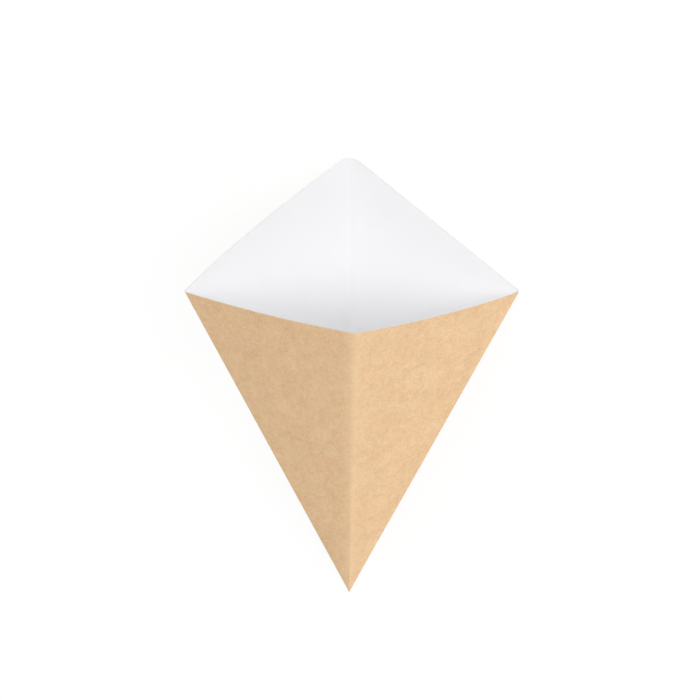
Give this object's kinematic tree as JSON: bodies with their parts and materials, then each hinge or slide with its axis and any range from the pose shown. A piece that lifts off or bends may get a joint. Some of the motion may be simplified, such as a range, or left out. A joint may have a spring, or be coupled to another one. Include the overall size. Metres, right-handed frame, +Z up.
{
  "type": "cone paper cup",
  "caption": "Folded kraft board cone for snacks, white inside, with a straight front rim and a back rim that rises to a rounded peak.",
  "frame": {"origin": "on the ground under the middle of the lying cup's box", "axes": "+Z up from the flat right back panel that the cup lies on, +Y along the back crease from the tip to the peak, +X towards the right side fold"},
  "size_m": [0.1492, 0.218, 0.0678],
  "materials": {
    "kraft_board": "matte"
  },
  "bodies": {
    "root": {"paper_cone": "kraft_board"}
  },
  "joints": []
}
